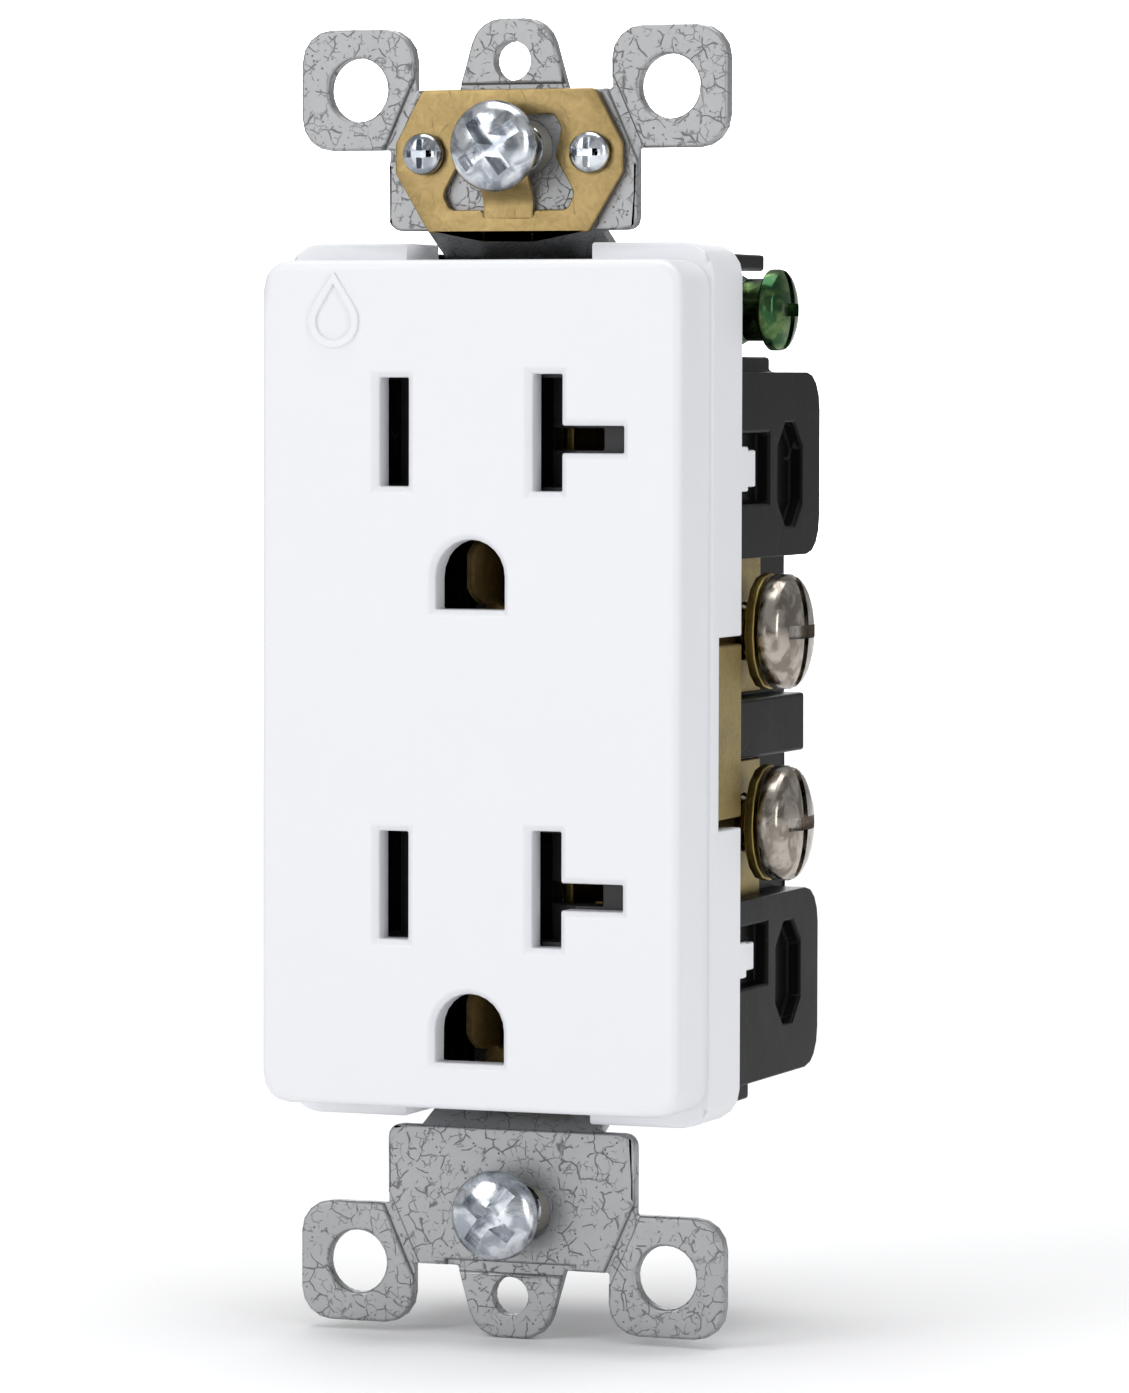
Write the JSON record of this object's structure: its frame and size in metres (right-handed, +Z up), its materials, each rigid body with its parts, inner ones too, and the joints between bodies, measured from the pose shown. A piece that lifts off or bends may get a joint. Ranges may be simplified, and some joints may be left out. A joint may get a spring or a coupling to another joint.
{
  "type": "duplex wall outlet",
  "caption": "Flush duplex outlet with T-slot openings, tamper-resistant shutters, side screw terminals, a self-grounding clip and a steel mounting strap.",
  "frame": {"origin": "in the wall plane, at the back of the strap's ears, midway between the two mounting screws", "axes": "+Z up along the strap, -Y out of the wall through the face, +X to the right of someone facing it"},
  "size_m": [0.0406, 0.0343, 0.1036],
  "materials": {
    "face_plastic": "smooth satin white nylon, soft gloss",
    "body_plastic": "semi-gloss black moulded nylon with fine mould lines",
    "shutter_plastic": "dark grey moulded shutter plastic",
    "strap_zinc": "zinc-plated steel with fine stretcher marks and bright cut edges",
    "clip_brass": "satin brass with faint swirls",
    "screw_zinc": "bright bluish zinc plate",
    "washer_fibre": "pressed fibre",
    "conductor_brass": "mill brass, lightly tarnished",
    "screw_nickel": "warm nickel plate",
    "screw_brass": "bright brass plate",
    "ground_green": "green dyed plate over steel",
    "spring_steel": "drawn spring wire"
  },
  "bodies": {
    "outlet": {"face_cover": "face_plastic", "back_body": "body_plastic", "shutter_tray_upper": "body_plastic", "shutter_tray_lower": "body_plastic", "mounting_strap": "strap_zinc", "grounding_clip": "clip_brass", "clip_screw_left": "screw_zinc", "clip_screw_right": "screw_zinc", "assembly_screw_upper": "screw_zinc", "assembly_screw_lower": "screw_zinc", "neutral_conductor": "conductor_brass", "hot_conductor": "conductor_brass", "ground_terminal": "conductor_brass", "ground_contact_upper": "conductor_brass", "ground_contact_lower": "conductor_brass", "ground_terminal_rivet": "conductor_brass", "ground_rivet_upper_top": "conductor_brass", "ground_rivet_upper_bottom": "conductor_brass", "ground_rivet_lower_top": "conductor_brass", "ground_rivet_lower_bottom": "conductor_brass", "shutter_spring_upper": "spring_steel", "shutter_spring_lower": "spring_steel"},
    "upper_washer": {"retaining_washer_upper": "washer_fibre"},
    "upper_mounting_screw": {"mounting_screw_upper": "screw_zinc"},
    "lower_washer": {"retaining_washer_lower": "washer_fibre"},
    "lower_mounting_screw": {"mounting_screw_lower": "screw_zinc"},
    "neutral_upper_clamp": {"neutral_clamp_upper": "conductor_brass"},
    "neutral_upper_screw": {"neutral_screw_upper": "screw_nickel"},
    "neutral_lower_clamp": {"neutral_clamp_lower": "conductor_brass"},
    "neutral_lower_screw": {"neutral_screw_lower": "screw_nickel"},
    "hot_upper_clamp": {"hot_clamp_upper": "conductor_brass"},
    "hot_upper_screw": {"hot_screw_upper": "screw_brass"},
    "hot_lower_clamp": {"hot_clamp_lower": "conductor_brass"},
    "hot_lower_screw": {"hot_screw_lower": "screw_brass"},
    "ground_clamp": {"ground_clamp_washer": "ground_green"},
    "ground_screw": {"ground_screw": "ground_green"},
    "shutter_upper": {"shutter_upper": "shutter_plastic"},
    "shutter_lower": {"shutter_lower": "shutter_plastic"}
  },
  "joints": [
    {"name": "upper_screw_push", "type": "slide", "parent": "outlet", "child": "upper_washer", "axis": [0, 1, 0], "range_m": [0, 0.0025]},
    {"name": "upper_screw_turn", "type": "hinge", "parent": "upper_washer", "child": "upper_mounting_screw", "pos_m": [0, 0, 0.04167], "axis": [0, 1, 0], "continuous": true},
    {"name": "lower_screw_push", "type": "slide", "parent": "outlet", "child": "lower_washer", "axis": [0, 1, 0], "range_m": [0, 0.0027]},
    {"name": "lower_screw_turn", "type": "hinge", "parent": "lower_washer", "child": "lower_mounting_screw", "pos_m": [0, 0, -0.04167], "axis": [0, 1, 0], "continuous": true},
    {"name": "neutral_upper_clamp", "type": "slide", "parent": "outlet", "child": "neutral_upper_clamp", "axis": [-1, 0, 0], "range_m": [-0.00079, 0.00119]},
    {"name": "neutral_upper_turn", "type": "hinge", "parent": "neutral_upper_clamp", "child": "neutral_upper_screw", "pos_m": [0.0165, 0.01095, 0.00378], "axis": [-1, 0, 0], "range_deg": [-360, 540]},
    {"name": "neutral_lower_clamp", "type": "slide", "parent": "outlet", "child": "neutral_lower_clamp", "axis": [-1, 0, 0], "range_m": [-0.00079, 0.00119]},
    {"name": "neutral_lower_turn", "type": "hinge", "parent": "neutral_lower_clamp", "child": "neutral_lower_screw", "pos_m": [0.0165, 0.01095, -0.01137], "axis": [-1, 0, 0], "range_deg": [-360, 540]},
    {"name": "hot_upper_clamp", "type": "slide", "parent": "outlet", "child": "hot_upper_clamp", "axis": [1, 0, 0], "range_m": [-0.00079, 0.00119]},
    {"name": "hot_upper_turn", "type": "hinge", "parent": "hot_upper_clamp", "child": "hot_upper_screw", "pos_m": [-0.0165, 0.01095, 0.00378], "axis": [1, 0, 0], "range_deg": [-360, 540]},
    {"name": "hot_lower_clamp", "type": "slide", "parent": "outlet", "child": "hot_lower_clamp", "axis": [1, 0, 0], "range_m": [-0.00079, 0.00119]},
    {"name": "hot_lower_turn", "type": "hinge", "parent": "hot_lower_clamp", "child": "hot_lower_screw", "pos_m": [-0.0165, 0.01095, -0.01137], "axis": [1, 0, 0], "range_deg": [-360, 540]},
    {"name": "ground_clamp", "type": "slide", "parent": "outlet", "child": "ground_clamp", "axis": [-1, 0, 0], "range_m": [-0.00079, 0.00119]},
    {"name": "ground_turn", "type": "hinge", "parent": "ground_clamp", "child": "ground_screw", "pos_m": [0.0165, 0.0078, 0.0291], "axis": [-1, 0, 0], "range_deg": [-360, 540]},
    {"name": "shutter_upper_slide", "type": "slide", "parent": "outlet", "child": "shutter_upper", "axis": [1, 0, 0], "range_m": [0, 0.0023], "stiffness_N_per_m": 40, "springref_m": -0.002, "deforming": ["shutter_spring_upper"]},
    {"name": "shutter_lower_slide", "type": "slide", "parent": "outlet", "child": "shutter_lower", "axis": [1, 0, 0], "range_m": [0, 0.0023], "stiffness_N_per_m": 40, "springref_m": -0.002, "deforming": ["shutter_spring_lower"]}
  ],
  "couplings": [
    {"joint": "neutral_upper_turn", "follows": "neutral_upper_clamp", "rad_per_m": 7913.3},
    {"joint": "neutral_lower_turn", "follows": "neutral_lower_clamp", "rad_per_m": 7913.3},
    {"joint": "hot_upper_turn", "follows": "hot_upper_clamp", "rad_per_m": 7913.3},
    {"joint": "hot_lower_turn", "follows": "hot_lower_clamp", "rad_per_m": 7913.3},
    {"joint": "ground_turn", "follows": "ground_clamp", "rad_per_m": 7913.3}
  ]
}
